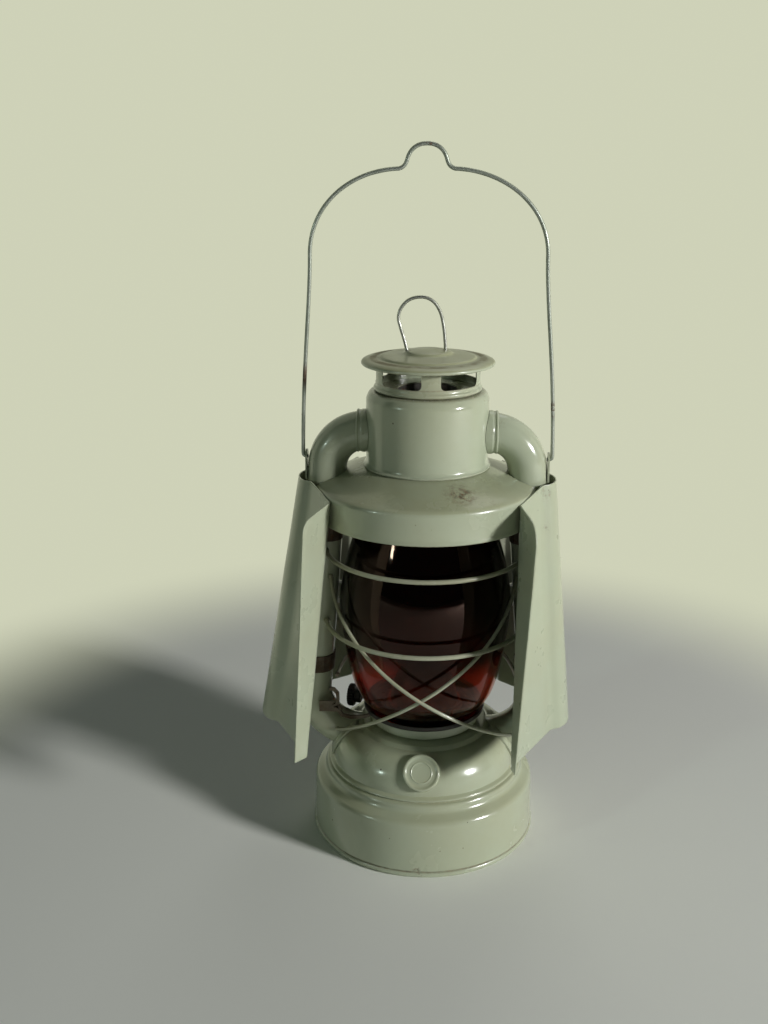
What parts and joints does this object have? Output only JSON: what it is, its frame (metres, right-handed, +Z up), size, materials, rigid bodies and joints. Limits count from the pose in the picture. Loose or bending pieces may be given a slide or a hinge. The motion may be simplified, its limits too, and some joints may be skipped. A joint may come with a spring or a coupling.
{
  "type": "railway signal lamp",
  "caption": "Tubular oil lantern for rail signalling: red globe in a wire guard between two air tubes, folded side screens, vented lifting cap, wire bail and round fuel tank.",
  "frame": {"origin": "centre of the base rim, on the ground", "axes": "+Z up along the lamp's axis, the front with the round boss faces -Y, the air tubes and screens stand at +X and -X"},
  "size_m": [0.2152, 0.1658, 0.4631],
  "materials": {
    "paint": "gloss enamel, worn",
    "bare_wire": "dull",
    "burner_brass": "aged",
    "red_glass": "gloss",
    "wick_cotton": "matt"
  },
  "bodies": {
    "frame": {"base_pan": "paint", "fuel_tank": "paint", "filler_neck": "paint", "burner_seat": "paint", "burner_body": "burner_brass", "wick_tube": "burner_brass", "burner_cone": "burner_brass", "left_air_tube": "paint", "right_air_tube": "paint", "left_tube_foot": "paint", "right_tube_foot": "paint", "left_tube_collar": "paint", "right_tube_collar": "paint", "chimney": "paint", "hood": "paint", "left_bail_ear": "paint", "right_bail_ear": "paint", "front_guard_upper": "paint", "front_guard_lower": "paint", "front_guard_falling": "paint", "front_guard_rising": "paint", "rear_guard_upper": "paint", "rear_guard_lower": "paint", "rear_guard_falling": "paint", "rear_guard_rising": "paint", "left_shield": "paint", "right_shield": "paint", "left_upper_clip": "bare_wire", "left_lower_clip": "bare_wire", "right_upper_clip": "bare_wire", "right_lower_clip": "bare_wire", "lever_bracket": "paint"},
    "bail_wire": {"bail": "bare_wire"},
    "flue_top": {"cap_plate": "paint", "cap_loop": "bare_wire", "vent_ring": "paint", "draft_tube": "bare_wire", "globe_bell": "bare_wire", "top_spring": "bare_wire"},
    "globe_carrier": {"globe": "red_glass", "globe_plate": "burner_brass"},
    "lever": {"lift_lever": "paint"},
    "wick_drive": {"wick_shaft": "burner_brass", "wick_wheel_1": "burner_brass", "wick_wheel_2": "burner_brass", "wick_knob": "bare_wire"},
    "wick_strip": {"wick": "wick_cotton"},
    "filler_lid": {"filler_cap": "paint"}
  },
  "joints": [
    {"name": "bail_swing", "type": "hinge", "parent": "frame", "child": "bail_wire", "pos_m": [0, 0, 0.267], "axis": [1, 0, 0], "range_deg": [-95, 95]},
    {"name": "top_lift", "type": "slide", "parent": "frame", "child": "flue_top", "axis": [0, 0, 1], "range_m": [0, 0.012], "stiffness_N_per_m": 150, "springref_m": -0.02, "deforming": ["top_spring"]},
    {"name": "lever_turn", "type": "hinge", "parent": "frame", "child": "lever", "pos_m": [-0.06, -0.017, 0.092], "axis": [0, -1, 0], "range_deg": [0, 22.1]},
    {"name": "globe_lift", "type": "slide", "parent": "frame", "child": "globe_carrier", "axis": [0, 0, 1], "range_m": [0, 0.009]},
    {"name": "wick_turn", "type": "hinge", "parent": "frame", "child": "wick_drive", "pos_m": [0.0009, 0.00512, 0.086], "axis": [-0.9848, 0.1736, 0], "range_deg": [-90, 60]},
    {"name": "wick_feed", "type": "slide", "parent": "frame", "child": "wick_strip", "axis": [0, 0, 1], "range_m": [-0.007, 0.0047]},
    {"name": "filler_cap_turn", "type": "hinge", "parent": "frame", "child": "filler_lid", "pos_m": [0, 0.054, 0.083], "axis": [0, 0, 1], "range_deg": [0, 270]}
  ],
  "couplings": [
    {"joint": "lever_turn", "follows": "globe_lift", "rad_per_m": 42.5},
    {"joint": "wick_feed", "follows": "wick_turn", "m_per_rad": 0.004}
  ]
}
